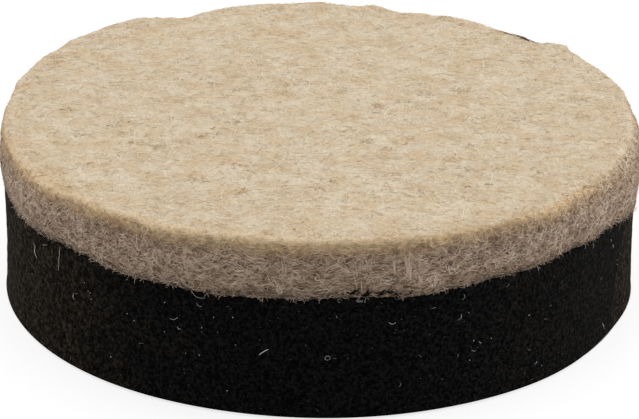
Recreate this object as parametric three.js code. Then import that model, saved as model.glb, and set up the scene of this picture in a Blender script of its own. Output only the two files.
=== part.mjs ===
// A self-adhesive furniture pad, stamped by one round die through three bonded layers:
// a disc of needled felt that meets the floor, a disc of closed-cell foam that cushions,
// and a film of pressure-sensitive adhesive that goes on the foot of the leg.
// Units are millimetres and +Z is up. The pad lies on its adhesive face with the felt on top,
// and the origin is the centre of that face.

import * as THREE from 'three';

// The cut that all the layers share
const dieDiameter = 31.8;
const roundSteps = 120;
const curveSteps = 2;

// Adhesive film: its edge draws back from the cut, so it doesn't gather dirt
const filmThickness = 0.1;
const filmSetback = 0.3;

// Foam: squeezed while it is cut, so it springs back to a slightly waisted wall with soft corners
const foamThickness = 6.1;
const foamWaist = 0.08;
const foamCornerRadius = 0.12;

// Felt: it relaxes past the cut, its wall bulges, and its rim rolls over
const feltThickness = 2.8;
const feltSpread = 0.15;
const feltBulge = 0.12;
const feltFootRadius = 0.25;
const feltRimRadius = 0.55;

// The felt relaxes unevenly, so its outline is the round of the die plus three slow waves.
// Each wave has its number of lobes, its swing in millimetres and the place of its first crest in degrees.
const feltWaves = [
  { lobes: 2, swing: 0.07, crest: -36 },
  { lobes: 3, swing: 0.11, crest: 2 },
  { lobes: 7, swing: 0.12, crest: -15 }
];

const dieRadius = dieDiameter / 2;

const materials = {
  film: new THREE.MeshStandardMaterial({ color: 0x1c1a18, roughness: 0.35, metalness: 0 }),
  foam: new THREE.MeshStandardMaterial({ color: 0x0f0f0f, roughness: 0.85, metalness: 0 }),
  felt: new THREE.MeshStandardMaterial({ color: 0xd0bda0, roughness: 1, metalness: 0 })
};

// Half the section of a disc, from the centre of its lower face to the centre of its upper face.
// The wall runs between two corner arcs and bows out, or in where the bow is negative.
function discSection(radius, thickness, footRadius, rimRadius, bow) {
  const wall = radius - Math.max(bow, 0);
  const middle = (footRadius + thickness - rimRadius) / 2;
  const section = new THREE.Path();
  section.moveTo(0, 0);
  section.lineTo(wall - footRadius, 0);
  section.absarc(wall - footRadius, footRadius, footRadius, -Math.PI / 2, 0, false);
  section.quadraticCurveTo(wall + 2 * bow, middle, wall, thickness - rimRadius);
  section.absarc(wall - rimRadius, thickness - rimRadius, rimRadius, 0, Math.PI / 2, false);
  section.lineTo(0, thickness);
  return section.getPoints(curveSteps);
}

// A disc that stands on z = 0, turned from its half section
function turned(section) {
  const geometry = new THREE.LatheGeometry(section, roundSteps);
  geometry.rotateX(Math.PI / 2);
  return geometry;
}

function waveAt(angle) {
  let swell = 0;
  for (const { lobes, swing, crest } of feltWaves) {
    swell += swing * Math.cos(lobes * (angle - THREE.MathUtils.degToRad(crest)));
  }
  return swell;
}

// Stretches a turned disc along each radius, so that its wall follows the waves from foot to rim,
// then centres its outline on the axis again
function relaxed(geometry, radius) {
  const places = geometry.attributes.position;
  for (let i = 0; i < places.count; i += 1) {
    const x = places.getX(i);
    const y = places.getY(i);
    const stretch = 1 + waveAt(Math.atan2(y, x)) / radius;
    places.setXY(i, x * stretch, y * stretch);
  }
  geometry.computeBoundingBox();
  const middle = geometry.boundingBox.getCenter(new THREE.Vector3());
  geometry.translate(-middle.x, -middle.y, 0);
  geometry.computeVertexNormals();
  return geometry;
}

function filmGeometry() {
  const radius = dieRadius - filmSetback;
  return turned([
    new THREE.Vector2(0, 0),
    new THREE.Vector2(radius, 0),
    new THREE.Vector2(radius, filmThickness),
    new THREE.Vector2(0, filmThickness)
  ]);
}

function foamGeometry() {
  return turned(discSection(dieRadius, foamThickness, foamCornerRadius, foamCornerRadius, -foamWaist));
}

function feltGeometry() {
  const radius = dieRadius + feltSpread;
  const section = discSection(radius, feltThickness, feltFootRadius, feltRimRadius, feltBulge);
  return relaxed(turned(section), radius);
}

function layer(name, geometry, material, height) {
  const mesh = new THREE.Mesh(geometry, material);
  mesh.name = name;
  mesh.position.z = height;
  return mesh;
}

// The layers lie face to face, each on top of the last
const pad = new THREE.Group();
pad.add(layer('adhesive_film', filmGeometry(), materials.film, 0));
pad.add(layer('foam_disc', foamGeometry(), materials.foam, filmThickness));
pad.add(layer('felt_disc', feltGeometry(), materials.felt, filmThickness + foamThickness));

export default pad;
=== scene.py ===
# %% [markdown]
# # A felt furniture pad
# The pad is a stack of three bonded discs: needled felt on top, black closed-cell foam under it, and a film
# of adhesive below. The frame holds those discs as plain solids at their true size. This lesson dresses them:
# it keeps every disc where it lies, and gives the felt its fibres and the foam its cells.

# %% Load the frame
import math

import bmesh
import bpy
import numpy as np
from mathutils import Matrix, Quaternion, Vector, noise
from mathutils.bvhtree import BVHTree


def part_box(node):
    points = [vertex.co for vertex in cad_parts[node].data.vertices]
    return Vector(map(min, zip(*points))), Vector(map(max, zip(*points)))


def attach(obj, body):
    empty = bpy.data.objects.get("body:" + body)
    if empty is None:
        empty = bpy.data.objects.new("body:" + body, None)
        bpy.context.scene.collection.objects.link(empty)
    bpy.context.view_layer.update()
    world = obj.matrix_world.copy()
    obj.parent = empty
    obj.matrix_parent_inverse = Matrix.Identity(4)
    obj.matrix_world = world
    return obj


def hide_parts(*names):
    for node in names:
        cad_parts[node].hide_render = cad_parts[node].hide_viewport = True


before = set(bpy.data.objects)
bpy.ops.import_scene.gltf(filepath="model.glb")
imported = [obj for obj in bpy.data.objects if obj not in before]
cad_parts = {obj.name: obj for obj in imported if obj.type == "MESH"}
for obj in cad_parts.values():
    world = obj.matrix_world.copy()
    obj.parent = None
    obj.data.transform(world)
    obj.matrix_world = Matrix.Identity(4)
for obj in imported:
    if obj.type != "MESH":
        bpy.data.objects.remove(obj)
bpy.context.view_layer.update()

MM = 0.001
BODY = "root"
FELT_LOW, FELT_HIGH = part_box("felt_disc")
FOAM_LOW, FOAM_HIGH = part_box("foam_disc")
print("felt from", round(FELT_LOW.z / MM, 2), "to", round(FELT_HIGH.z / MM, 2), "mm")
print("foam radius", round(FOAM_HIGH.x / MM, 2), "mm")

# %% [markdown]
# ## Camera
# A small thing is photographed with a long lens from close by, which leaves a little perspective: the pad's
# wall narrows towards its foot. So the camera stands five pad widths away and looks down about 24 degrees.
# It is also turned by less than a degree, as a camera held by eye is.


# %% The camera
def placed(name, data):
    """A new object in the scene."""
    made = bpy.data.objects.new(name, data)
    bpy.context.scene.collection.objects.link(made)
    return made


CAMERA_AIM = Vector((-0.05 * MM, 0, 3.76 * MM))
CAMERA_DISTANCE = 160 * MM
CAMERA_PITCH = math.radians(23.56)
CAMERA_ROLL = math.radians(0.7)
CAMERA_LENS = 177.7

camera_data = bpy.data.cameras.new("camera")
camera_data.sensor_width = 36
camera_data.lens = CAMERA_LENS
camera_data.clip_start = 10 * MM
camera_data.clip_end = 10
camera = placed("camera", camera_data)
bpy.context.scene.camera = camera
towards_camera = Vector((0, -math.cos(CAMERA_PITCH), math.sin(CAMERA_PITCH)))
camera.rotation_mode = "QUATERNION"
camera.location = CAMERA_AIM + towards_camera * CAMERA_DISTANCE
camera.rotation_quaternion = (-towards_camera).to_track_quat("-Z", "Y") @ Quaternion((0, 0, 1), CAMERA_ROLL)
bpy.context.scene.view_settings.view_transform = "Standard"
print("camera at", [round(x / MM, 1) for x in camera.location], "mm")

# %% [markdown]
# ## Node helper
# A material is a small graph. One helper adds a node, sets its options and fills its inputs, each with
# a number, a colour or another node's output, so that every finish below reads from top to bottom.


# %% Node helper
def node(tree, kind, inputs=None, **options):
    made = tree.nodes.new("ShaderNode" + kind)
    for name, value in options.items():
        setattr(made, name, value)
    for name, value in (inputs or {}).items():
        if isinstance(value, bpy.types.NodeSocket):
            tree.links.new(value, made.inputs[name])
        else:
            made.inputs[name].default_value = value
    return made


def calculated(tree, operation, *values):
    """One step of arithmetic on numbers or on other nodes' outputs."""
    return node(tree, "Math", dict(enumerate(values)), operation=operation).outputs[0]


def ramp(tree, factor, stops):
    """A colour ramp with stops of (place, (red, green, blue))."""
    made = node(tree, "ValToRGB", {"Fac": factor})
    elements = made.color_ramp.elements
    while len(elements) < len(stops):
        elements.new(0.5)
    for element, (place, colour) in zip(elements, stops):
        element.position = place
        element.color = (*colour, 1)
    return made.outputs["Color"]


def new_material(name, **plain):
    """A material, its tree and its shader. Values that are the same all over go on the shader's own sockets."""
    material = bpy.data.materials.new(name)
    material.use_nodes = True
    shader = material.node_tree.nodes["Principled BSDF"]
    for socket, value in plain.items():
        shader.inputs[socket.replace("_", " ")].default_value = value
    return material, material.node_tree, shader


def millimetres(tree):
    """Object coordinates in millimetres, so that a noise scale of 1 makes spots of about 1 mm."""
    coordinates = node(tree, "TexCoord")
    return node(tree, "Mapping", {"Vector": coordinates.outputs["Object"], "Scale": (1000, 1000, 1000)})


# %% [markdown]
# ## Floor and light
# The pad is shown on plain white. Its felt face is bright and its front wall is in shade, so the light
# comes from above and from two low panels behind it, and little comes back from the floor. The floor is
# therefore grey to the light. It is pale only to rays that see it straight, off a gloss or through glass,
# and these still see the pad's soft shadow on it. It is no wider than the lamps can light evenly: beyond its
# edge the white sky takes over.

# %% Floor and backdrop
def backdrop_rays(tree):
    """1 for the rays that see the room as pale: straight from the camera, off a gloss or through glass."""
    path = node(tree, "LightPath")
    most = path.outputs["Is Camera Ray"]
    for kind in ("Is Glossy Ray", "Is Transmission Ray"):
        most = calculated(tree, "MAXIMUM", most, path.outputs[kind])
    return most


def as_mesh(bm, name):
    mesh = bpy.data.meshes.new(name)
    bm.to_mesh(mesh)
    bm.free()
    return mesh


FLOOR_WIDTH = 1.1
bm = bmesh.new()
bmesh.ops.create_grid(bm, x_segments=1, y_segments=1, size=FLOOR_WIDTH / 2)
floor = placed("floor", as_mesh(bm, "floor"))

floor_paint = bpy.data.materials.new("floor_paint")
floor_paint.use_nodes = True
tree = floor_paint.node_tree
tree.nodes.remove(tree.nodes["Principled BSDF"])
seen = backdrop_rays(tree)
dull = node(tree, "BsdfDiffuse", {"Color": (0.42, 0.42, 0.42, 1)})
pale = node(tree, "BsdfDiffuse", {"Color": (0.3, 0.3, 0.3, 1)})
glow = node(tree, "Emission", {"Color": (1, 1, 1, 1), "Strength": 0.78})
white = node(tree, "AddShader", {0: pale.outputs[0], 1: glow.outputs[0]})
mixed = node(tree, "MixShader", {"Fac": seen, 1: dull.outputs[0], 2: white.outputs[0]})
tree.links.new(mixed.outputs[0], tree.nodes["Material Output"].inputs["Surface"])
floor.data.materials.append(floor_paint)

# %% Sky
SKY_STRENGTH = 0.46
world = bpy.data.worlds.new("sky")
world.use_nodes = True
bpy.context.scene.world = world
tree = world.node_tree
seen = backdrop_rays(tree)
plain_sky = node(tree, "Background", {"Color": (1, 1, 1, 1), "Strength": SKY_STRENGTH})
white_sky = node(tree, "Background", {"Color": (1, 1, 1, 1), "Strength": 1.0})
mixed = node(tree, "MixShader", {"Fac": seen, 1: plain_sky.outputs[0], 2: white_sky.outputs[0]})
tree.links.new(mixed.outputs[0], tree.nodes["World Output"].inputs["Surface"])


# %% Lamps
def panel(name, azimuth, elevation, distance, width, height, power):
    """A soft light that faces the pad. Azimuth is counted from +X towards +Y, in degrees."""
    data = bpy.data.lights.new(name, "AREA")
    data.shape = "RECTANGLE"
    data.size = width
    data.size_y = height
    data.energy = power
    lamp = placed(name, data)
    turn, rise = math.radians(azimuth), math.radians(elevation)
    outward = Vector((math.cos(turn) * math.cos(rise), math.sin(turn) * math.cos(rise), math.sin(rise)))
    lamp.location = outward * distance
    lamp.rotation_mode = "QUATERNION"
    lamp.rotation_quaternion = outward.to_track_quat("Z", "Y")


panel("top_panel", 90, 84, 0.42, 0.50, 0.50, 0.90)
panel("right_panel", 17, 14, 0.40, 0.30, 0.14, 0.86)
panel("left_panel", 154, 14, 0.40, 0.30, 0.14, 0.66)

# %% [markdown]
# ## Felt body
# Felt is a mat of short fibres, hooked together by needles and then stamped out. The die leaves an outline
# that isn't quite round: it has flats, dents and a few swells where the mat sprang back. The body starts as
# a square grid whose rings are bent into circles, because a grid keeps its faces even from centre to rim,
# where a spun disc crowds them at the middle. Its border is then extruded over the rim and down the wall.

# %% The stamped outline
FELT_RADIUS = 15.95 * MM
# Places where the outline departs from a circle: the angle from +X in degrees, how far the felt stands out
# there in millimetres, and half the width of the place in degrees. The rim and the foot have their own.
RIM_PLACES = (
    (-143, 0.40, 8), (-128, 0.10, 5), (-117, 0.25, 6), (-98, 0.10, 6), (-60, -0.20, 16), (-36, -0.30, 9),
    (-15, -0.12, 9), (5, -0.24, 8), (24, -0.05, 5), (33.5, 0.12, 3), (38.2, 0.50, 2.4), (42.8, -0.42, 2.0),
    (50, -0.52, 6.0), (67.5, -0.25, 1.6), (73.5, -0.50, 3.3), (79.5, 0.32, 2.2), (91, 0.20, 2.2), (92, 0.35, 6),
    (100.5, 0.20, 2.5), (105, 0.38, 6), (118.6, -0.47, 3.4), (127, 0.27, 3), (134, 0.85, 9), (143.3, 0.30, 3.2),
    (152, 0.50, 9), (165, 0.19, 4), (178, -0.08, 10),
)
FOOT_PLACES = (
    (-150, 0.25, 8), (-138, -0.06, 5), (-124, 0.35, 7), (-115, 0.10, 6), (-107, 0.38, 8), (-94, 0.10, 5),
    (-84, -0.10, 6), (-74, 0.25, 5), (-60, -0.18, 8), (-49, -0.12, 6), (-41.5, -0.32, 4), (-30, -0.18, 6),
    (-21, 0.36, 5), (-10, -0.02, 8), (20, -0.20, 15), (60, 0.15, 12), (105, 0.20, 12), (140, 0.25, 15),
    (178, -0.05, 10),
)
# Where the rim is rolled over a wider strip than elsewhere.
ROLL_PLACES = ((-37, 0.36, 10), (-16, 0.45, 20), (160, 0.10, 30))


def swell(places, angle):
    degrees = math.degrees(angle)
    total = 0
    for place, height, half_width in places:
        away = (degrees - place + 180) % 360 - 180
        total += height * math.exp(-((away / half_width) ** 2))
    return total * MM


def outline_radius(angle, up=1.0):
    """The felt's radius in metres at an angle in radians. up is 0 at the foot and 1 at the rim."""
    return FELT_RADIUS + up * swell(RIM_PLACES, angle) + (1 - up) * swell(FOOT_PLACES, angle)


# %% The felt's section
GRID_CUTS = 180
FELT_SPRING = 0.10 * MM
FELT_TOP = FELT_HIGH.z + FELT_SPRING
RIM_ROLL = 0.30 * MM
FOOT_ROLL = 0.20 * MM
WALL_BULGE = 0.12 * MM
SECTION = [("rim", i / 7) for i in range(1, 8)]
SECTION += [("wall", i / 17) for i in range(1, 18)]
SECTION += [("foot", i / 3) for i in range(1, 4)]


def rim_roll(angle):
    return RIM_ROLL + swell(ROLL_PLACES, angle)


def section_place(part, share, angle):
    """How far inside the outline the felt's skin lies, and how high, a share of the way down one part."""
    roll = rim_roll(angle)
    turn = math.pi / 2 * share
    wall_top = FELT_TOP - roll
    wall_foot = FELT_LOW.z + FOOT_ROLL
    if part == "rim":
        return roll * (1 - math.sin(turn)), FELT_TOP - roll * (1 - math.cos(turn))
    if part == "wall":
        return -WALL_BULGE * math.sin(math.pi * share), wall_top + (wall_foot - wall_top) * share
    return FOOT_ROLL * (1 - math.cos(turn)), wall_foot - FOOT_ROLL * math.sin(turn)


def on_disc(x, y):
    """Bends a square's rings into circles: gives the share of the radius and the angle in radians."""
    if abs(x) >= abs(y):
        if x == 0:
            return 0, 0
        return x, math.pi / 4 * y / x
    return y, math.pi / 2 - math.pi / 4 * x / y


def border(bm):
    return [edge for edge in bm.edges if edge.is_boundary]


def new_verts(grown):
    return [item for item in grown["geom"] if isinstance(item, bmesh.types.BMVert)]


def sort_faces(bm):
    """Sorts the faces by their vertices, because extruding leaves them in an order that changes by run."""
    bm.verts.index_update()
    ranked = sorted(bm.faces, key=lambda face: sorted((vertex.index for vertex in face.verts), reverse=True))
    for place, face in enumerate(ranked):
        face.index = place
    bm.faces.sort()


bm = bmesh.new()
bmesh.ops.create_grid(bm, x_segments=GRID_CUTS, y_segments=GRID_CUTS, size=1)
for vertex in bm.verts:
    share, angle = on_disc(vertex.co.x, vertex.co.y)
    direction = Vector((math.cos(angle), math.sin(angle), 0)) * share
    outward = math.atan2(direction.y, direction.x)
    vertex.co = direction * (outline_radius(outward) - rim_roll(outward))
    vertex.co.z = FELT_TOP
for part, share in SECTION:
    for vertex in new_verts(bmesh.ops.extrude_edge_only(bm, edges=border(bm))):
        angle = math.atan2(vertex.co.y, vertex.co.x)
        inset, height = section_place(part, share, angle)
        up = (height - FELT_LOW.z) / (FELT_TOP - FELT_LOW.z)
        reach = outline_radius(angle, up) - inset
        vertex.co = Vector((math.cos(angle) * reach, math.sin(angle) * reach, height))
underside = new_verts(bmesh.ops.extrude_edge_only(bm, edges=border(bm)))
bmesh.ops.pointmerge(bm, verts=underside, merge_co=(0, 0, FELT_LOW.z))
bmesh.ops.recalc_face_normals(bm, faces=bm.faces)
sort_faces(bm)
print("felt body", len(bm.verts), "vertices", len(bm.faces), "faces")

# %% [markdown]
# ## Unevenness of the felt
# Needling leaves the mat lumpy at three sizes: slow swells, tufts of about a millimetre, and knots as fine
# as a few fibres. Each vertex moves along its normal by noise of those sizes. The underside stays flat,
# because it is bonded to the foam.

# %% Lumps and tufts
# Each kind of lump: its width in millimetres and how far it stands out in millimetres.
TOP_LUMPS = ((6.0, 0.05), (1.4, 0.025), (0.4, 0.020))
WALL_LUMPS = ((3.0, 0.07), (0.9, 0.06), (0.33, 0.07))


def lumpiness(place, lumps):
    return sum(height * noise.noise(place / (width * MM)) for width, height in lumps) * MM


bm.normal_update()
normals = {vertex: vertex.normal.copy() for vertex in bm.verts}
for vertex in bm.verts:
    if vertex.co.z < FELT_LOW.z + 0.5 * FOOT_ROLL:
        continue
    upward = max(normals[vertex].z, 0)
    rise = upward * lumpiness(vertex.co, TOP_LUMPS) + (1 - upward) * lumpiness(vertex.co, WALL_LUMPS)
    vertex.co += normals[vertex] * rise
for face in bm.faces:
    face.smooth = True
felt_surface = BVHTree.FromBMesh(bm)
felt_mesh = as_mesh(bm, "felt_body")
felt_body = placed("felt_body", felt_mesh)
print("felt body stands", round((max(v.co.z for v in felt_mesh.vertices)) / MM, 3), "mm high")

# %% [markdown]
# ## Felt colour
# The mat is blended from cream, tan and ginger fibres, so its colour drifts in soft patches. On the cut wall
# the fibre ends show: the blend is browner there, with dark gaps. A warm band just under the rim runs from gold
# to brown, with a lower edge that wanders, and fades out at the right end. Its gold top is partly a painted
# highlight, where the rolled rim turns up to the light, and its brown foot is partly painted shade. The wall is
# also darker towards its foot, in painted shade where it meets the foam.
# Fibres too fine to model are drawn as noise that is stretched along a few directions, where only the
# crests count. The height in Object coordinates tells top from wall.


# %% Fine fibres as stretched noise
def noise_at(tree, place, scale, detail, roughness=0.5):
    """Noise from 0 to 1, whose spots are about 1 mm divided by the scale."""
    made = node(tree, "TexNoise", {"Vector": place, "Scale": scale, "Detail": detail, "Roughness": roughness})
    return made.outputs["Fac"]


def bent(tree, place, amount):
    """Places pushed about by slow noise, so that what is drawn on them curves."""
    push = node(tree, "TexNoise", {"Vector": place, "Scale": 1.1, "Detail": 1.0})
    scaled = node(tree, "VectorMath", {0: push.outputs["Color"], 1: (amount, amount, amount)},
                  operation="MULTIPLY")
    return node(tree, "VectorMath", {0: place, 1: scaled.outputs["Vector"]}, operation="ADD").outputs["Vector"]


def crests(tree, place, turns, axis, stretch, scale):
    """Crossing streaks: the highest of some noises, each stretched along its own direction."""
    highest = None
    for turn in turns:
        rotation = [0, 0, 0]
        rotation[axis] = math.radians(turn)
        drawn = node(tree, "Mapping", {"Vector": place, "Rotation": rotation, "Scale": (stretch, 1, 1)},
                     vector_type="TEXTURE")
        streak = noise_at(tree, drawn.outputs["Vector"], scale, 2.0, 0.6)
        if highest is None:
            highest = streak
        else:
            highest = calculated(tree, "MAXIMUM", highest, streak)
    return highest


def round_the_wall(tree, place, radius):
    """Unrolls the wall: millimetres round it from the front, the height, and the two as one vector."""
    axes = node(tree, "SeparateXYZ", {"Vector": place})
    front = calculated(tree, "MULTIPLY", axes.outputs["Y"], -1.0)
    turn = calculated(tree, "ARCTAN2", axes.outputs["X"], front)
    along = calculated(tree, "MULTIPLY", turn, radius)
    height = axes.outputs["Z"]
    return along, height, node(tree, "CombineXYZ", {"X": along, "Z": height}).outputs["Vector"]


def spread(tree, value, low, high, out_low, out_high):
    made = node(tree, "MapRange", {"Value": value, "From Min": low, "From Max": high, "To Min": out_low,
                                   "To Max": out_high}, interpolation_type="SMOOTHSTEP")
    return made.outputs["Result"]


def tinted(tree, colour, factor, other):
    made = node(tree, "Mix", {"Factor": factor, 6: colour, 7: other}, data_type="RGBA")
    return made.outputs[2]


def shaded(tree, colour, value):
    return node(tree, "VectorMath", {0: colour, "Scale": value}, operation="SCALE").outputs["Vector"]


# %% Felt finish
TOP_COLOURS = ((0.34, (0.64, 0.495, 0.325)), (0.47, (0.675, 0.545, 0.38)), (0.60, (0.70, 0.60, 0.45)))
DOT_COLOUR = (0.47, 0.325, 0.18, 1)
WALL_COLOURS = ((0.42, (0.08, 0.048, 0.028)), (0.57, (0.33, 0.235, 0.165)), (0.70, (0.68, 0.53, 0.40)))
# RIM_GOLD is the band's warm colour brightened as a painted highlight on the rolled rim. BAND_BROWN is darker,
# as painted shade lower down.
RIM_GOLD = (0.78, 0.56, 0.31, 1)
BAND_BROWN = (0.45, 0.30, 0.18, 1)
felt_finish, tree, shader = new_material("felt_finish", Roughness=1.0, Specular_IOR_Level=0.05)
place = millimetres(tree).outputs["Vector"]

mottle = ramp(tree, noise_at(tree, place, 0.75, 3.0, 0.55), TOP_COLOURS)
dots = spread(tree, noise_at(tree, place, 2.6, 2.0), 0.58, 0.74, 0, 0.65)
top_colour = tinted(tree, mottle, dots, DOT_COLOUR)
from_axis = node(tree, "VectorMath", {0: place, 1: (1, 1, 0)}, operation="MULTIPLY").outputs["Vector"]
from_axis = node(tree, "VectorMath", {0: from_axis}, operation="LENGTH").outputs["Value"]
depth = node(tree, "SeparateXYZ", {"Vector": place}).outputs["Y"]
# The top's edge at the front takes RIM_GOLD too, with its painted highlight.
ring = spread(tree, from_axis, 15.3, 15.9, 0, 0.4)
ring = calculated(tree, "MULTIPLY", ring, spread(tree, depth, -9, -1, 1, 0))
top_colour = tinted(tree, top_colour, ring, RIM_GOLD)
top_fibres = crests(tree, bent(tree, place, 1.2), (40, 90, 140), 2, 2.2, 9.0)
top_colour = shaded(tree, top_colour, spread(tree, top_fibres, 0.44, 0.68, 0.82, 1.10))

along, height, unrolled = round_the_wall(tree, place, FELT_RADIUS / MM)
wall_fibres = crests(tree, bent(tree, unrolled, 0.8), (0, 28, -32), 1, 3.0, 6.5)
wall_colour = ramp(tree, wall_fibres, WALL_COLOURS)

top_z = FELT_TOP / MM
edge = calculated(tree, "MULTIPLY_ADD", noise_at(tree, place, 1.8, 2.0), 0.6, height)
over_rim = spread(tree, height, top_z - 0.04, top_z - 0.20, 0, 1)
# Painted highlight and shade: down_band turns the band from bright gold at the top of the roll to brown lower
# down, as the roll turns away from the light above.
down_band = spread(tree, edge, top_z + 0.20, top_z - 0.35, 0, 1)
under_band = spread(tree, edge, top_z - 0.16, top_z - 0.66, 0, 1)
right_end = spread(tree, along, 13, 19, 0, 0.75)
right_end = calculated(tree, "MULTIPLY", right_end, spread(tree, along, 26, 36, 1, 0))
under_band = calculated(tree, "MAXIMUM", under_band, right_end)
# Painted shade: the felt darkens towards its foot, where it meets the foam.
near_foot = spread(tree, height, FELT_LOW.z / MM, FELT_LOW.z / MM + 0.65, 0.38, 1.0)
band_colour = shaded(tree, tinted(tree, RIM_GOLD, down_band, BAND_BROWN),
                     spread(tree, wall_fibres, 0.42, 0.70, 0.60, 1.20))
felt_colour = tinted(tree, top_colour, over_rim, tinted(tree, band_colour, under_band, wall_colour))
felt_colour = shaded(tree, felt_colour, near_foot)
tree.links.new(felt_colour, shader.inputs["Base Color"])
relief = node(tree, "Mix", {"Factor": over_rim, 2: top_fibres, 3: wall_fibres}, data_type="FLOAT")
bump = node(tree, "Bump", {"Height": relief.outputs[0], "Strength": 0.15, "Distance": 0.08 * MM})
tree.links.new(bump.outputs["Normal"], shader.inputs["Normal"])
felt_mesh.materials.append(felt_finish)

# %% [markdown]
# ## One strand, and thousands
# The nap is real strands, because they give felt its soft outline and its small shadows. A strand is
# a triangle extruded a few times and closed at both ends, with its flat side up, so that it takes the light
# as the mat below it does. Hair particles would be lost in a plain mesh export. An Array modifier repeats the
# strand instead, and each copy's rings are laid along a path that walks over the felt.

# %% Strand template
STRAND_DEPTH = 0.24


def strand_template(name, steps):
    """A straight strand along +Z with one ring for each path point, its flat side towards +Y."""
    bm = bmesh.new()
    bmesh.ops.create_circle(bm, segments=3, radius=1)
    bmesh.ops.scale(bm, verts=bm.verts, vec=(1.15, -STRAND_DEPTH, 1))
    ring = bm.edges[:]
    for _ in range(steps):
        grown = bmesh.ops.extrude_edge_only(bm, edges=ring)
        bmesh.ops.translate(bm, verts=new_verts(grown), vec=(0, 0, 1))
        top = set(new_verts(grown))
        ring = [edge for edge in bm.edges if top.issuperset(edge.verts)]
    bmesh.ops.holes_fill(bm, edges=border(bm), sides=3)
    bmesh.ops.recalc_face_normals(bm, faces=bm.faces)
    sort_faces(bm)
    bm.loops.layers.uv.new("OFBake")
    return as_mesh(bm, name)


def repeated(mesh, count):
    """The same mesh many times over, as one piece."""
    piece = placed(mesh.name, mesh)
    array = piece.modifiers.new("repeat", "ARRAY")
    array.count = count
    array.use_relative_offset = False
    array.use_constant_offset = False
    evaluated = piece.evaluated_get(bpy.context.evaluated_depsgraph_get())
    many = bpy.data.meshes.new_from_object(evaluated)
    piece.modifiers.clear()
    piece.data = many
    many.name = mesh.name
    return piece


def vertex_places(mesh):
    places = np.empty(len(mesh.vertices) * 3)
    mesh.vertices.foreach_get("co", places)
    return places.reshape(-1, 3)


def unit(vectors):
    return vectors / (np.linalg.norm(vectors, axis=-1, keepdims=True) + 1e-12)


# %% [markdown]
# ## Colour of a strand
# A strand has one tone, from dark to pale, and one hue, from warm to cool. The two place it on a small colour
# chart, which is the piece's own UV map: the whole strand lies on one spot there. Such a map stays sharp
# however many strands there are, where an unwrapped one would be nearly all margin.

# %% Laying strands
CHART_SPOT = 0.02


def lay_strands(name, laid, widths, tones, hues, finish):
    """One piece of closed strands. laid is (points, ups) for each strand, and widths are radii in metres.
    Widths, tones and hues are one for each strand, or one for all."""
    points = np.array([[tuple(p) for p in path] for path, _ in laid])
    ups = np.array([[tuple(u) for u in up] for _, up in laid])
    count, rings = points.shape[:2]
    widths, tones, hues = (np.zeros(count) + given for given in (widths, tones, hues))
    piece = repeated(strand_template(name, rings - 1), count)
    template = vertex_places(piece.data).reshape(count, -1, 3)[0]
    ring = np.rint(template[:, 2]).astype(int)

    along = unit(np.gradient(points, axis=1))
    across = unit(np.cross(ups, along))
    upward = np.cross(along, across)
    taper = np.sin(np.linspace(0.35, math.pi - 0.35, rings)) ** 0.6
    size = widths[:, None, None] * taper[None, ring, None]
    offsets = template[:, 0, None] * across[:, ring] + template[:, 1, None] * upward[:, ring]
    piece.data.vertices.foreach_set("co", (points[:, ring] + size * offsets).ravel())

    corners = np.empty(len(piece.data.loops), dtype=int)
    piece.data.loops.foreach_get("vertex_index", corners)
    tone = np.clip(tones, 0.01, 0.97)[:, None] + CHART_SPOT * (template[:, 0] + 1) / 2
    hue = np.clip(hues, 0.01, 0.97)[:, None] + CHART_SPOT * ring / rings
    chart = np.stack([tone, hue], axis=2).reshape(-1, 2)
    piece.data.uv_layers["OFBake"].uv.foreach_set("vector", chart[corners].ravel())
    piece.data.materials.append(finish)
    piece.data.update()
    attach(piece, BODY)
    print(name, count, "strands", sum(len(f.vertices) - 2 for f in piece.data.polygons), "triangles")
    return piece


def strand_finish(name, warm, cool):
    """A fibre's finish, read off its chart: tone across, hue upwards."""
    material, tree, shader = new_material(name, Roughness=0.8, Specular_IOR_Level=0.06)
    spot = node(tree, "SeparateXYZ", {"Vector": node(tree, "TexCoord").outputs["UV"]})
    colour = tinted(tree, ramp(tree, spot.outputs["X"], warm), spot.outputs["Y"],
                    ramp(tree, spot.outputs["X"], cool))
    tree.links.new(colour, shader.inputs["Base Color"])
    return material


# %% [markdown]
# ## Paths over the felt
# A path starts at a random place on the felt and walks over it in small steps, turning a little at each,
# and every step is pulled back to the surface. The strand's ends dive into the mat and its middle stands
# a little proud. Random numbers come from one seeded source, so that the felt is the same at every run.

# %% Paths
chance = np.random.default_rng(41)
face_centres = np.array([face.center for face in felt_mesh.polygons])
face_normals = np.array([face.normal for face in felt_mesh.polygons])
face_areas = np.array([face.area for face in felt_mesh.polygons])


def radii(low, high, strands):
    """A radius in metres for each strand, between two bounds in millimetres."""
    return chance.uniform(low, high, len(strands)) * MM


def scattered(count, wanted):
    """Places and normals on the felt, spread evenly over the faces that wanted picks."""
    weights = face_areas * wanted
    chosen = chance.choice(len(weights), size=count, p=weights / weights.sum())
    return [(Vector(face_centres[i]), Vector(face_normals[i])) for i in chosen]


def walk(surface, start, heading, length, curls, lifts):
    """Walks over a surface, turning by curls in radians at each step and standing off it by lifts."""
    place, normal, _, _ = surface.find_nearest(start)
    step = length / (len(lifts) - 1)
    points, ups = [], []
    for curl, lift in zip(curls, lifts):
        points.append(place + normal * lift)
        ups.append(normal)
        heading = heading - normal * heading.dot(normal)
        heading.normalize()
        heading.rotate(Quaternion(normal, curl))
        place, normal, _, _ = surface.find_nearest(place + heading * step)
    return points, ups


def freedom(place, normal):
    """1 where strands turn every way, and less on the front wall, where the mat lies combed level."""
    if normal.z > 0.7:
        return 1
    from_front = math.degrees(math.atan2(place.x, -place.y))
    return 1 - 0.8 * math.exp(-((from_front - 3) / 42) ** 2)


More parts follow.
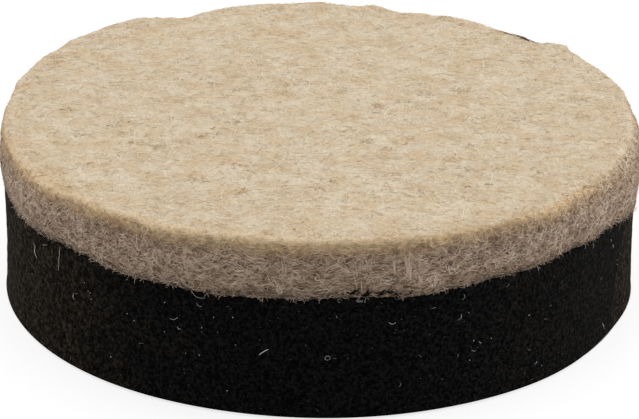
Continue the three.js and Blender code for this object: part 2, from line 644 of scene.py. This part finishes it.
def nap(starts, steps, lengths, curl, lifts, level=1.0):
    """Paths for strands with their ends in the mat. level under 1 lays wall strands nearer to level."""
    laid = []
    arch = np.sin(np.linspace(0, math.pi, steps + 1))
    for start, normal in starts:
        turn = chance.uniform(0, math.tau)
        tangent = Vector((-normal.y, normal.x, 0)) if abs(normal.z) < 0.7 else Vector((1, 0, 0))
        free = freedom(start, normal)
        heading = tangent * math.cos(turn) + normal.cross(tangent) * math.sin(turn) * level * free
        length = chance.uniform(*lengths)
        curls = chance.normal(0, curl) + chance.normal(0, 0.4 * curl) * (np.arange(steps + 1) - steps / 2)
        curls *= length / steps * (0.2 + 0.8 * free)
        rise = lifts[0] + (lifts[1] - lifts[0]) * chance.uniform(0, 1) ** 2
        laid.append(walk(felt_surface, start, heading, length * MM, curls, (-0.02 + (rise + 0.02) * arch) * MM))
    return laid


def drift(place, width, seed):
    """A slow change over the felt, from about -1 to 1, so that neighbouring strands go together."""
    return noise.noise(place / (width * MM) + Vector((seed, 0, 0)))


# %% Nap of the top
WARM_TOP = ((0.0, (0.34, 0.20, 0.09)), (0.3, (0.59, 0.42, 0.25)), (0.6, (0.715, 0.545, 0.36)),
            (1.0, (0.92, 0.79, 0.60)))
COOL_TOP = ((0.0, (0.33, 0.25, 0.14)), (0.3, (0.58, 0.475, 0.315)), (0.6, (0.70, 0.615, 0.455)),
            (1.0, (0.92, 0.87, 0.76)))
on_top = (face_normals[:, 2] > 0.6) & (face_centres[:, 2] > FELT_TOP - 0.5 * MM)
top_finish = strand_finish("top_strand_finish", WARM_TOP, COOL_TOP)


def top_tones(starts, scatter):
    tones = [0.58 + 0.14 * drift(place, 1.3, 3) + 0.26 * drift(place, 0.35, 9) for place, _ in starts]
    hues = [0.5 + 0.6 * drift(place, 1.0, 21) + 0.6 * drift(place, 2.4, 33) for place, _ in starts]
    near_rim = np.array([min(max(1 - (FELT_RADIUS - place.xy.length) / (0.7 * MM), 0), 1) * (place.y < -4 * MM)
                         for place, _ in starts])
    right_front = np.array([math.exp(-((place.x - 12 * MM) / (4 * MM)) ** 2) for place, _ in starts])
    tones = np.array(tones) - 0.22 * near_rim * right_front + chance.normal(0, scatter, len(starts))
    return tones, np.array(hues) * (1 - near_rim)


starts = scattered(7600, on_top)
tones, hues = top_tones(starts, 0.17)
top_nap = lay_strands("top_nap", nap(starts, 3, (0.4, 1.2), 1.5, (0.006, 0.03)),
                      radii(0.011, 0.018, starts), tones, hues, top_finish)
near_middle = on_top & (np.hypot(face_centres[:, 0], face_centres[:, 1]) < 13.2 * MM)
starts = scattered(420, near_middle)
tones, hues = top_tones(starts, 0.1)
long_nap = lay_strands("long_nap", nap(starts, 8, (1.4, 3.6), 0.8, (0.015, 0.05)),
                       radii(0.010, 0.015, starts), tones + 0.22, hues, top_finish)
starts = scattered(2500, on_top)
tones, hues = top_tones(starts, 0.14)
top_curls = lay_strands("top_curls", nap(starts, 4, (0.35, 1.0), 3.6, (0.035, 0.11)),
                        radii(0.008, 0.012, starts), tones + 0.25, hues, top_finish)
# Short tan fibres lie together in little tufts. The boldest are golden, and have their own places in x and y.
GOLD_TUFTS = (
    (-10.5, -2.3), (-9.7, -1.8), (-5.8, -3.3), (-9.0, -4.3), (-11.6, -3.3), (-12.8, -0.1), (-11.3, -7.3),
    (-6.6, -4.3), (-7.8, -4.8), (-3.8, -10.4), (-5.8, 3.7), (-4.3, 3.0), (-1.6, 3.8), (-2.0, 2.5), (-4.3, -1.5),
    (-0.2, -9.8), (-11.9, -10.1), (-6.0, -8.7), (7.0, 3.1), (7.6, 3.2), (2.9, 0.9), (5.2, 2.5), (10.6, -7.6),
    (5.0, -10.1), (6.4, -6.1), (7.3, -7.3), (13.1, 2.1), (9.7, -0.7), (3.2, -4.7), (2.2, -4.0), (8.5, -7.3),
)
starts = [start for start in scattered(9500, on_top) if drift(start[0], 0.42, 50) > 0.36]
by_chance = len(starts)
for x, y in GOLD_TUFTS:
    for _ in range(20):
        place = Vector((x + chance.normal(0, 0.22), y + chance.normal(0, 0.18), 9.1)) * MM
        starts.append((place, Vector((0, 0, 1))))
hues = chance.uniform(0, 0.9, len(starts))
hues[by_chance:] *= 0.2
tan_tufts = lay_strands("tan_tufts", nap(starts, 3, (0.12, 0.42), 2.0, (0.02, 0.05)),
                        radii(0.010, 0.016, starts), chance.uniform(0.02, 0.34, len(starts)),
                        hues, top_finish)

# %% Nap of the wall
WARM_WALL = ((0.0, (0.18, 0.105, 0.052)), (0.3, (0.43, 0.285, 0.165)), (0.6, (0.71, 0.53, 0.335)),
             (1.0, (0.94, 0.80, 0.57)))
COOL_WALL = ((0.0, (0.12, 0.08, 0.052)), (0.3, (0.39, 0.285, 0.205)), (0.6, (0.70, 0.53, 0.40)),
             (1.0, (0.96, 0.84, 0.71)))
on_wall = (np.abs(face_normals[:, 2]) < 0.75) & (face_centres[:, 2] > FELT_LOW.z + 0.05 * MM)
wall_finish = strand_finish("wall_strand_finish", WARM_WALL, COOL_WALL)


def wall_tones(starts, scatter):
    """Golden at the rim, brown at the band's edge, grey-brown below, paler at both ends, darker at the foot."""
    tones, hues = [], []
    for place, _ in starts:
        below = (FELT_TOP - place.z) / MM
        degrees = math.degrees(math.atan2(place.y, place.x))
        # Painted light: right and left make the wall's fibres paler at both ends, where the side lamps light
        # it.
        right, left = math.exp(-((degrees + 8) / 26) ** 2), math.exp(-((degrees + 185) / 20) ** 2)
        tone = 0.495 + 0.34 * drift(place, 0.7, 5) + 0.32 * drift(place, 0.3, 8) + 0.08 * right + 0.06 * left
        left_front = math.exp(-((degrees + 137) / 16) ** 2)
        right_front = math.exp(-((degrees + 40) / 17) ** 2)
        # Painted highlight and shade: paler just under the rim, where the roll turns up to the light, darker a
        # little lower.
        tone += 0.10 * math.exp(-((below / 0.28) ** 2))
        tone -= 0.10 * (1 - 0.8 * left_front) * math.exp(-(((below - 0.80) / 0.32) ** 2))
        tone -= 0.11 * right_front * math.exp(-((below / 0.7) ** 2))
        # Painted shade: the fibres darken towards the foot, most just left of the front.
        foot_shade = 0.15 + 0.20 * math.exp(-((degrees + 97) / 10) ** 2)
        tones.append(tone - foot_shade * min(max((below - 2.2) / 0.4, 0), 1))
        brown = 1 / (1 + math.exp(-(below + 0.35 * drift(place, 0.8, 40) - 0.78) / 0.14))
        behind = 0.6 if place.y > 2 * MM and below < 0.3 else 0
        hues.append(max(0.75 * right, brown, behind) - 0.15 * drift(place, 1.0, 30))
    return np.array(tones) + chance.normal(0, scatter, len(starts)), np.array(hues)


starts = scattered(9500, on_wall)
tones, hues = wall_tones(starts, 0.16)
wall_mat = lay_strands("wall_mat", nap(starts, 3, (0.22, 0.65), 2.2, (0.01, 0.045), level=0.6),
                       radii(0.011, 0.017, starts), tones + 0.02, hues, wall_finish)
starts = scattered(7600, on_wall)
tones, hues = wall_tones(starts, 0.18)
wall_nap = lay_strands("wall_nap", nap(starts, 4, (0.25, 0.70), 3.0, (0.02, 0.09), level=0.8),
                       radii(0.007, 0.011, starts), tones + 0.11, hues, wall_finish)

# %% Fuzz of the rim
from_axis = np.hypot(face_centres[:, 0], face_centres[:, 1])
on_rim = (face_normals[:, 2] > 0.2) & (face_centres[:, 2] > FELT_TOP - 1.0 * MM)
on_rim &= from_axis > FELT_RADIUS - 1.3 * MM
starts = scattered(3400, on_rim)
tones, hues = wall_tones(starts, 0.24)
rim_fuzz = lay_strands("rim_fuzz", nap(starts, 3, (0.25, 0.75), 2.8, (0.02, 0.11)),
                       radii(0.008, 0.012, starts), tones + 0.20, hues, wall_finish)

# %% [markdown]
# ## Fringe
# Where the felt meets the foam the stamped ends hang over the black wall as a fine fringe. Each of these
# strands starts inside the felt's foot and bends out and down. They come in clumps, with bare places
# between them, as a real cut edge has.

# %% Fringe
def foot_fringe(count, lengths):
    laid = []
    while len(laid) < count:
        angle = chance.uniform(0, math.tau)
        outward = Vector((math.cos(angle), math.sin(angle), 0))
        if noise.noise(outward * 28) + chance.normal(0, 0.15) < -0.05:
            continue
        sideways = Vector((-outward.y, outward.x, 0))
        place = outward * (outline_radius(angle, 0) - 0.06 * MM)
        place.z = FELT_LOW.z + chance.uniform(0.03, 0.28) * MM
        length = chance.uniform(*lengths) * MM
        heading = outward * 0.35 + sideways * chance.normal(0, 1.0) - Vector((0, 0, chance.uniform(-0.2, 0.6)))
        heading.normalize()
        bend = Vector(chance.normal(0, 0.7, 3)) - outward * 0.45
        points, ups = [], []
        for _ in range(4):
            points.append(place.copy())
            ups.append(outward)
            place += heading * (length / 3)
            heading = (heading + bend * 0.6).normalized()
        laid.append((points, ups))
    return laid


laid = foot_fringe(2600, (0.12, 0.36))
fringe = lay_strands("foot_fringe", laid, radii(0.005, 0.008, laid),
                     chance.normal(0.62, 0.18, len(laid)), chance.uniform(0.7, 1, len(laid)), wall_finish)

# %% [markdown]
# ## Marks of handling
# A pad that has been handled carries a few marks: fibres rubbed upright into pale bars, small curled knots,
# a fibre or two sprung loose at the foot, dark specks of other wool on the face, and a thin lock of strands
# along the back rim, golden at its left end and dark at its right. Each is a strand or a small bunch, laid at
# an angle round the pad and a height.


# %% Single threads
def round_place(angle, height, reach):
    turn = math.radians(angle)
    return Vector((math.cos(turn) * reach, math.sin(turn) * reach, height)) * MM


def thread(surface, start, tilt, length, curl, steps, lifts):
    """One fibre on a wall. tilt is in degrees from level, curl in radians for each millimetre."""
    outward = Vector((start.x, start.y, 0)).normalized()
    sideways = Vector((-outward.y, outward.x, 0))
    heading = sideways * math.cos(math.radians(tilt)) + Vector((0, 0, math.sin(math.radians(tilt))))
    rise = np.interp(np.arange(steps + 1), np.linspace(0, steps, len(lifts)), lifts) * MM
    return walk(surface, start, heading, length * MM, [curl * length / steps] * (steps + 1), rise)


# Pale bars: the angle, the lower and the upper end, and the number of fibres.
RUB_BARS = ((-75.6, 7.15, 8.35, 24), (-77.6, 7.25, 8.1, 4), (-83.4, 7.3, 8.2, 5), (-83.4, 6.5, 7.3, 5),
            (-73.4, 6.65, 7.3, 6), (-95.9, 7.3, 8.3, 5), (-95.9, 6.7, 7.4, 4), (-112, 6.9, 8.1, 6))
# Curled knots: the angle, the height and the number of fibres.
KNOTS = ((-96.7, 6.85, 20), (-90, 7.27, 10), (-67.7, 7.31, 18), (-71.2, 6.85, 14), (-118, 7.5, 10),
         (-137, 7.2, 10), (-34, 7.1, 10), (35, 7.3, 10), (100, 7.0, 10), (150, 7.4, 10))
marks, tones = [], []
for angle, low, high, fibres in RUB_BARS:
    for _ in range(fibres):
        start = round_place(angle + chance.normal(0, 0.2), low + chance.uniform(-0.05, 0.3), 16.5)
        marks.append(thread(felt_surface, start, chance.normal(90, 4), (high - low) * chance.uniform(0.5, 1.0),
                            chance.normal(0, 0.2), 4, (0.02, 0.07, 0.07, 0.02)))
        tones.append(chance.normal(0.66, 0.08))
for angle, height, fibres in KNOTS:
    for _ in range(fibres):
        start = round_place(angle + chance.normal(0, 0.4), height + chance.normal(0, 0.07), 16.5)
        marks.append(thread(felt_surface, start, chance.uniform(0, 360), chance.uniform(0.2, 0.4),
                            chance.normal(0, 6), 4, (0.04, 0.12, 0.12, 0.04)))
        tones.append(chance.normal(0.76, 0.08))
pale_marks = lay_strands("pale_marks", marks, radii(0.010, 0.016, marks), tones, 0.95, wall_finish)

# %% Loose fibres
# Each loose fibre: angle, height, tilt, length, curl, and how far it stands off from end to end.
LOOSE_FIBRES = (
    (-102.7, 8.50, -38, 1.05, 0.9, (0.03, 0.14, 0.10)),
    (-21.0, 6.60, -15, 0.75, 1.7, (0.02, 0.25, 0.30)),
    (-128.0, 6.50, -60, 0.55, 2.5, (0.02, 0.12, 0.10)),
    (-121.0, 7.70, 85, 0.80, 0.7, (0.03, 0.12, 0.04)),
    (-64.6, 6.45, -60, 0.50, -2.0, (0.02, 0.14, 0.10)),
    (-44.0, 6.50, -75, 0.50, 2.0, (0.02, 0.14, 0.10)),
    (60.0, 6.60, -70, 0.90, 1.5, (0.02, 0.16, 0.12)),
    (125.0, 6.50, -60, 0.80, -2.0, (0.02, 0.16, 0.12)),
)
laid = []
for angle, height, tilt, length, curl, lifts in LOOSE_FIBRES:
    laid.append(thread(felt_surface, round_place(angle, height, 16.5), tilt, length, curl, 9, lifts))
loose_fibres = lay_strands("loose_fibres", laid, 0.013 * MM, 0.85, 0.9, wall_finish)

# %% Specks and the brown lock
DARK_WOOL = ((0.0, (0.06, 0.033, 0.013)), (0.5, (0.25, 0.135, 0.038)), (1.0, (0.66, 0.42, 0.13)))
GREY_WOOL = ((0.0, (0.035, 0.032, 0.028)), (0.5, (0.15, 0.12, 0.09)), (1.0, (0.42, 0.36, 0.28)))
speck_finish = strand_finish("speck_finish", DARK_WOOL, GREY_WOOL)
# Dark specks on the face, by x and y in millimetres.
SPECKS = ((4.35, 1.34), (1.93, 1.54), (-1.25, -14.62), (11.19, -2.32), (-5.8, -3.51), (-3.72, -9.93),
          (7.06, -9.35), (7.95, -9.1), (0.43, -8.95), (9.69, -4.56), (4.24, -4.1), (-5.41, -2.33))
laid, tones = [], []
spots = [(x, y, 3, 0.62) for x, y in SPECKS]
spots += [(*chance.uniform(-10.5, 10.5, 2), 1, 0.78) for _ in range(60)]
for x, y, fibres, tone in spots:
    for _ in range(fibres):
        start = Vector((x + chance.normal(0, 0.05), y + chance.normal(0, 0.05), 9.2)) * MM
        turn = chance.uniform(0, math.tau)
        heading = Vector((math.cos(turn), math.sin(turn), 0))
        laid.append(walk(felt_surface, start, heading, chance.uniform(0.12, 0.3) * MM, [0.3] * 4,
                         np.array([0.0, 0.035, 0.035, 0.0]) * MM))
        tones.append(tone + chance.normal(0, 0.08))
# A thin lock of strands along the back rim: dark at its right end, golden at its left.
LOCK_START, LOCK_END = 41.6, 50.2
for _ in range(80):
    share = chance.uniform(0, 1)
    angle = LOCK_START + (LOCK_END - LOCK_START) * share
    thick = 0.4 * chance.uniform(0, math.sin(math.pi * share))
    inset = rim_roll(math.radians(angle)) * (0.45 + 0.25 * share + thick)
    reach = (outline_radius(math.radians(angle)) - inset) / MM
    laid.append(thread(felt_surface, round_place(angle, 9.3, reach), chance.normal(0, 4),
                       chance.uniform(0.5, 0.8), chance.normal(0, 0.1), 3, (-0.01, 0.07, 0.07, -0.01)))
    tones.append(np.clip(-0.1 + 1.5 * share + chance.normal(0, 0.1), 0, 1))
dark_wool = lay_strands("dark_wool", laid, radii(0.014, 0.022, laid), tones,
                        chance.uniform(0, 0.15, len(laid)), speck_finish)

# %% Felt pieces take their places
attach(felt_body, BODY)
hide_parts("felt_disc")

# %% [markdown]
# ## Foam
# The foam is black and closed-celled. Stamping leaves its wall smooth to the hand but finely grained, with
# a slight waist and hard corners. Its section is spun round the axis, with rows close enough to carry
# the waist, the die's faint ripples and the larger open cells as real shape.

# %% The foam body
FOAM_RADIUS = FOAM_HIGH.x
FOAM_WAIST = 0.08 * MM
FOAM_CORNER = 0.10 * MM
FOAM_ROWS = 46
FOAM_COLUMNS = 760
# Where the foam departs from a circle: the angle, the height of the place in millimetres, half its width.
FOAM_PLACES = ((-26, -0.24, 14), (-128, 0.14, 32), (-86, 0.08, 18), (182, 0.05, 22), (70, -0.06, 40))


def foam_section():
    """Radius and height of the foam's outline, from the centre of its foot to the centre of its top."""
    low, high = FOAM_LOW.z, FOAM_HIGH.z
    points = [(0, low), (FOAM_RADIUS * 0.6, low), (FOAM_RADIUS * 0.95, low), (FOAM_RADIUS - FOAM_CORNER, low)]
    for i in range(FOAM_ROWS + 1):
        share = i / FOAM_ROWS
        height = low + FOAM_CORNER * 0.5 + (high - low - FOAM_CORNER) * share
        points.append((FOAM_RADIUS - FOAM_WAIST * math.sin(math.pi * share), height))
    points += [(FOAM_RADIUS - FOAM_CORNER, high), (FOAM_RADIUS * 0.95, high), (FOAM_RADIUS * 0.6, high)]
    return points + [(0, high)]


bm = bmesh.new()
chain = [bm.verts.new((radius, 0, height)) for radius, height in foam_section()]
edges = [bm.edges.new(pair) for pair in zip(chain, chain[1:])]
bmesh.ops.spin(bm, geom=chain + edges, axis=(0, 0, 1), cent=(0, 0, 0), angle=math.tau, steps=FOAM_COLUMNS,
               use_merge=True)
bmesh.ops.remove_doubles(bm, verts=bm.verts, dist=1e-7)
bmesh.ops.recalc_face_normals(bm, faces=bm.faces)
sort_faces(bm)

FOAM_LUMPS = ((6.0, 0.03), (1.2, 0.015), (0.30, 0.020))
# One large open cell: where it is, how wide it is and how deep, in metres.
FOAM_PIT = Vector((math.cos(math.radians(-65.4)), math.sin(math.radians(-65.4)), 0)) * FOAM_RADIUS
FOAM_PIT.z = 3.0 * MM
PIT_WIDTH = 0.22 * MM
PIT_DEPTH = 0.16 * MM
for vertex in bm.verts:
    radius = math.hypot(vertex.co.x, vertex.co.y)
    inside = FOAM_LOW.z + 0.12 * MM < vertex.co.z < FOAM_HIGH.z - 0.02 * MM
    change = swell(FOAM_PLACES, math.atan2(vertex.co.y, vertex.co.x)) * radius / FOAM_RADIUS
    if radius > FOAM_RADIUS - 0.5 * MM and inside:
        change += lumpiness(vertex.co, FOAM_LUMPS) - 0.02 * MM
        change -= PIT_DEPTH * math.exp(-((vertex.co - FOAM_PIT).length / PIT_WIDTH) ** 2)
    if radius > 0:
        vertex.co.x *= 1 + change / radius
        vertex.co.y *= 1 + change / radius
for face in bm.faces:
    face.smooth = True
foam_surface = BVHTree.FromBMesh(bm)
foam_mesh = as_mesh(bm, "foam_body")
foam_body = placed("foam_body", foam_mesh)
print("foam body", len(foam_mesh.polygons), "faces")

# %% [markdown]
# ## Foam finish
# Cut cells make the wall a fine black grain that gives hardly any gloss. Noise with a steep ramp draws
# the grain. The flanks are painted paler and warmer: partly real dust, partly a painted sheen where the lamps
# behind graze them. A strip at the right end with a sharp edge is painted light from the lamp at the right.

# %% Foam finish
FOAM_BLACK = (0.0072, 0.0072, 0.0073)
FOAM_DUST_AND_SHEEN = (0.0200, 0.0160, 0.0120)
foam_finish, tree, shader = new_material("foam_finish", Roughness=1.0, Specular_IOR_Level=0.02)
place = millimetres(tree).outputs["Vector"]
along, height, unrolled = round_the_wall(tree, place, FOAM_RADIUS / MM)
# Painted sheen with some real dust: the flanks and a sharp-edged strip at the right end are painted paler.
from_front = calculated(tree, "ABSOLUTE", calculated(tree, "SUBTRACT", along, 5.6))
clouds = noise_at(tree, place, 0.5, 3.0)
flanks = spread(tree, calculated(tree, "MULTIPLY_ADD", clouds, 14.0, from_front), 18.0, 30.0, 0, 1)
# The strip is painted light from the lamp at the right, with a slanted edge.
slanted = calculated(tree, "MULTIPLY_ADD", height, -0.36, along)
sheen_strip = spread(tree, slanted, 18.15, 18.32, 0, 0.95)
sheen_strip = calculated(tree, "MULTIPLY", sheen_strip, spread(tree, along, 24, 30, 1, 0))
dust_and_sheen = calculated(tree, "MAXIMUM", flanks, sheen_strip)
# The right half has a little dust all over. The back has half as much as the flanks, whose extra is painted
# sheen.
dust_and_sheen = calculated(tree, "MAXIMUM", dust_and_sheen, spread(tree, along, 3, 11, 0, 0.16))
sideways = calculated(tree, "ABSOLUTE", along)
dust_and_sheen = calculated(tree, "MULTIPLY", dust_and_sheen, spread(tree, sideways, 26, 38, 1, 0.5))
blotches = noise_at(tree, place, 3.2, 2.0)
dust_and_sheen_colour = shaded(tree, FOAM_DUST_AND_SHEEN, spread(tree, blotches, 0.36, 0.64, 0.5, 1.55))
grain = noise_at(tree, place, 6.0, 3.0, 0.75)
foam_colour = tinted(tree, (*FOAM_BLACK, 1), dust_and_sheen, dust_and_sheen_colour)
foam_colour = shaded(tree, foam_colour, spread(tree, grain, 0.38, 0.68, 0.20, 2.15))
tree.links.new(foam_colour, shader.inputs["Base Color"])
bump = node(tree, "Bump", {"Height": grain, "Strength": 0.8, "Distance": 0.08 * MM})
tree.links.new(bump.outputs["Normal"], shader.inputs["Normal"])
foam_mesh.materials.append(foam_finish)
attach(foam_body, BODY)
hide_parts("foam_disc")

# %% [markdown]
# ## Lint
# Black foam shows every fibre that drops on it. The ones that are seen from the front have their own
# places, with angle, height, tilt, length, curl and radius. The rest of the wall gets its share by chance.

# %% Lint on the foam
LINT = (
    (-149.5, 5.20, -86, 0.65, 0.5, 0.018), (-149.9, 5.35, -35, 0.22, 0.0, 0.011),
    (-146.4, 5.60, 18, 0.50, 0.0, 0.009), (-140.4, 6.10, -97, 1.40, -0.1, 0.012),
    (-137.2, 4.00, -97, 0.34, 0.8, 0.014), (-136.6, 3.95, 60, 0.22, -4.0, 0.008),
    (-111.7, 6.15, -80, 0.85, 2.0, 0.010), (-115.8, 4.42, -18, 0.48, 2.4, 0.010),
    (-110.7, 5.50, -75, 0.32, 4.5, 0.009), (-114.4, 4.05, -60, 0.20, 6.0, 0.012),
    (-99.9, 3.20, 55, 0.56, -1.0, 0.018), (-88.3, 3.12, 0, 0.75, 8.4, 0.010),
    (-78.4, 4.95, -60, 0.40, 4.0, 0.011), (-65.5, 4.85, -72, 0.38, -4.0, 0.010),
    (-65.5, 5.60, 20, 0.34, 5.0, 0.007), (-71.0, 5.40, 30, 0.25, -3.0, 0.007),
    (-56.8, 5.70, 30, 0.22, 2.0, 0.007), (-33.5, 5.95, -85, 0.28, 0.0, 0.009),
    (-25.6, 5.30, -75, 0.22, 0.0, 0.012), (-24.4, 4.90, -80, 0.30, 1.0, 0.014),
    (-21.0, 6.10, -60, 0.90, -1.3, 0.012), (-27.3, 1.05, -80, 0.45, 0.8, 0.012),
    (-61.9, 3.25, -60, 0.20, 3.0, 0.009), (-63.2, 2.85, -50, 0.24, 4.0, 0.009),
    (-49.6, 1.16, 25, 0.22, 0.0, 0.010), (-51.2, 1.98, 0, 0.20, 0.0, 0.008),
    (-47.4, 3.29, 0, 0.16, 0.0, 0.009),
)
DUST = (
    (-151.4, 3.5), (-134.0, 4.8), (-133.3, 4.5), (-132.7, 4.4), (-132.4, 4.1), (-124.3, 4.1), (-122.8, 3.8),
    (-128.2, 1.5), (-116.6, 5.2), (-116.8, 3.6), (-109.9, 4.3), (-112.9, 2.8), (-110.3, 2.8), (-107.8, 4.9),
    (-104.3, 5.0), (-103.9, 3.6), (-105.5, 1.2), (-107.1, 4.1), (-51.4, 3.8), (-45.9, 3.9), (-59.2, 3.2),
    (-62.9, 3.3), (-63.4, 2.3), (-47.8, 0.9), (-50.1, 0.4), (-20.6, 3.6), (-20.9, 3.4),
)
LINT_DULL = ((0.0, (0.05, 0.048, 0.045)), (1.0, (0.62, 0.60, 0.57)))
LINT_WHITE = ((0.0, (0.06, 0.058, 0.056)), (1.0, (0.85, 0.84, 0.82)))
lint_finish = strand_finish("lint_finish", LINT_DULL, LINT_WHITE)
laid, tones, widths = [], [], []
for angle, height, tilt, length, curl, radius in LINT:
    start = round_place(angle, height, 16.2)
    laid.append(thread(foam_surface, start, tilt, length, curl, 8, (0.01, 0.06, 0.01)))
    tones.append(0.35 + 35 * radius)
    widths.append(radius)
for _ in range(40):
    start = round_place(chance.uniform(-180, 180), chance.uniform(0.3, 6), 16.2)
    laid.append(thread(foam_surface, start, chance.uniform(0, 360), chance.uniform(0.08, 0.25),
                       chance.normal(0, 4), 8, (0.005, 0.03, 0.005)))
    tones.append(chance.uniform(0.1, 0.45))
    widths.append(chance.uniform(0.008, 0.011))
lint = lay_strands("lint", laid, np.array(widths) * MM, tones, 0.9, lint_finish)

laid, tones, widths = [], [], []
places = list(DUST) + [(chance.uniform(-180, 180), chance.uniform(0.2, 6.1)) for _ in range(500)]
for i, (angle, height) in enumerate(places):
    laid.append(thread(foam_surface, round_place(angle, height, 16.2), chance.uniform(0, 360),
                       chance.uniform(0.04, 0.08), 0, 2, (0.005, 0.02, 0.005)))
    tones.append(chance.uniform(0.5, 0.9) if i < len(DUST) else chance.uniform(0.0, 0.25))
    widths.append(chance.uniform(0.016, 0.024) if i < len(DUST) else chance.uniform(0.009, 0.014))
dust = lay_strands("dust", laid, np.array(widths) * MM, tones, 0.5, lint_finish)

# %% [markdown]
# ## Bond line
# Glue bonds the two discs. At the front a little of it has soaked up into the felt, where it mats the lowest
# fibres dark. Three glints on the foam's edge are painted highlights. Both are bunches of short strands.

# %% Bond line
laid = []
for _ in range(90):
    start = round_place(chance.triangular(-89, -81, -75), chance.uniform(6.3, 6.45), 16.5)
    laid.append(thread(felt_surface, start, chance.normal(0, 20), chance.uniform(0.15, 0.45),
                       chance.normal(0, 2), 3, (0.0, 0.06, 0.06, 0.0)))
glue_line = lay_strands("glue_line", laid, radii(0.012, 0.020, laid), 0.2, 0.5, foam_finish)
# Painted highlights: short pale strands stand for three glints on the foam's edge, under the felt.
laid = []
for _ in range(16):
    start = round_place(chance.choice((-86.9, -84.0, -83.0)) + chance.normal(0, 0.3), 6.12, 16.5)
    laid.append(thread(foam_surface, start, chance.normal(0, 40), chance.uniform(0.06, 0.16), 0, 2,
                       (0.05, 0.12, 0.05)))
glue_glints = lay_strands("glue_glints", laid, 0.009 * MM, chance.uniform(0.3, 0.8, len(laid)), 0.9,
                          lint_finish)

# %% [markdown]
# ## Adhesive film
# The film under the foam keeps its CAD disc, whose shape is right. It is a thin tacky coat, so it shows
# the black foam through it, with a soft gloss broken by coating lines.

# %% Adhesive finish
film_finish, tree, shader = new_material("film_finish", Specular_IOR_Level=0.5)
place = millimetres(tree).outputs["Vector"]
lines = node(tree, "Mapping", {"Vector": place, "Scale": (0.15, 2.5, 1)})
coat = noise_at(tree, lines.outputs["Vector"], 1.5, 3.0)
coat_colour = ramp(tree, coat, ((0.3, (0.020, 0.018, 0.016)), (0.7, (0.040, 0.036, 0.030))))
tree.links.new(coat_colour, shader.inputs["Base Color"])
gloss = node(tree, "MapRange", {"Value": coat, "To Min": 0.2, "To Max": 0.45})
tree.links.new(gloss.outputs["Result"], shader.inputs["Roughness"])
bump = node(tree, "Bump", {"Height": coat, "Strength": 0.4, "Distance": 0.03 * MM})
tree.links.new(bump.outputs["Normal"], shader.inputs["Normal"])
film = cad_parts["adhesive_film"]
film.data.materials.clear()
film.data.materials.append(film_finish)
